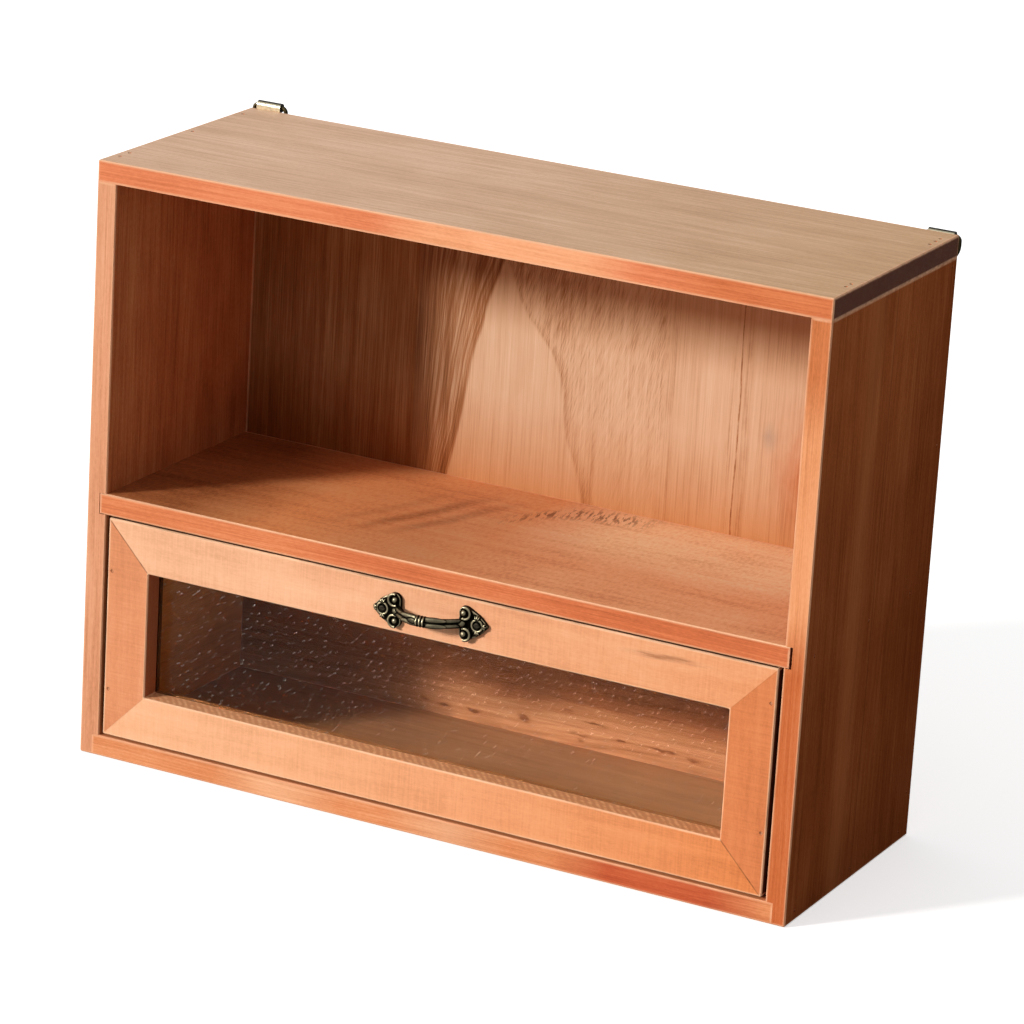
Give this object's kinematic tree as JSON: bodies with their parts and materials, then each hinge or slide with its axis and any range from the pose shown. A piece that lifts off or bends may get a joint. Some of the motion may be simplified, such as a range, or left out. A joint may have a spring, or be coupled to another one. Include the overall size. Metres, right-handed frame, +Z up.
{
  "type": "desktop display cabinet",
  "caption": "Wooden desktop cabinet with an open display compartment above a wide glass-fronted drawer, and ring hangers on the back.",
  "frame": {"origin": "middle of the cabinet's footprint, on the surface that it stands on", "axes": "+X to the cabinet's right as seen from its front, the drawer front faces -Y, +Z up"},
  "size_m": [0.401, 0.1664, 0.317],
  "materials": {
    "case_wood": "reddish-brown stained softwood, satin lacquer",
    "back_wood": "stained edge-glued strips, satin lacquer",
    "front_wood": "lighter stained softwood, satin lacquer",
    "box_wood": "stained softwood, thin lacquer",
    "panel_wood": "stained plywood, thin lacquer",
    "nail_steel": "plain wire nail, darkened",
    "hanger_bronze": "antique bronze plate, worn bright",
    "handle_bronze": "cast, dark antique bronze with rubbed highlights",
    "screw_bronze": "dark bronze plate",
    "pane_glass": "clear flat glass"
  },
  "bodies": {
    "cabinet": {"top_board": "case_wood", "left_side_board": "case_wood", "right_side_board": "case_wood", "shelf_board": "case_wood", "bottom_board": "case_wood", "back_board": "back_wood", "top_board_brads": "nail_steel", "shelf_brads": "nail_steel", "bottom_board_brads": "nail_steel", "back_board_brads": "nail_steel", "left_hanger_strap": "hanger_bronze", "right_hanger_strap": "hanger_bronze", "hanger_screws": "screw_bronze"},
    "drawer": {"drawer_top_rail": "front_wood", "drawer_bottom_rail": "front_wood", "drawer_left_stile": "front_wood", "drawer_right_stile": "front_wood", "glass_pane": "pane_glass", "top_glazing_bead": "front_wood", "bottom_glazing_bead": "front_wood", "left_glazing_bead": "front_wood", "right_glazing_bead": "front_wood", "drawer_left_side": "box_wood", "drawer_right_side": "box_wood", "drawer_back": "box_wood", "drawer_bottom_panel": "panel_wood", "drawer_front_brads": "nail_steel", "drawer_back_brads": "nail_steel", "drawer_bottom_brads": "nail_steel", "drawer_handle": "handle_bronze", "handle_screws": "screw_bronze"},
    "left_ring": {"left_hanger_ring": "hanger_bronze"},
    "right_ring": {"right_hanger_ring": "hanger_bronze"}
  },
  "joints": [
    {"name": "drawer_slide", "type": "slide", "parent": "cabinet", "child": "drawer", "axis": [0, -1, 0], "range_m": [0, 0.105]},
    {"name": "left_ring_swing", "type": "hinge", "parent": "cabinet", "child": "left_ring", "pos_m": [-0.19, 0.07635, 0.3147], "axis": [1, 0, 0], "range_deg": [-4, 270]},
    {"name": "right_ring_swing", "type": "hinge", "parent": "cabinet", "child": "right_ring", "pos_m": [0.19, 0.07635, 0.3114], "axis": [1, 0, 0], "range_deg": [-4, 205]}
  ]
}
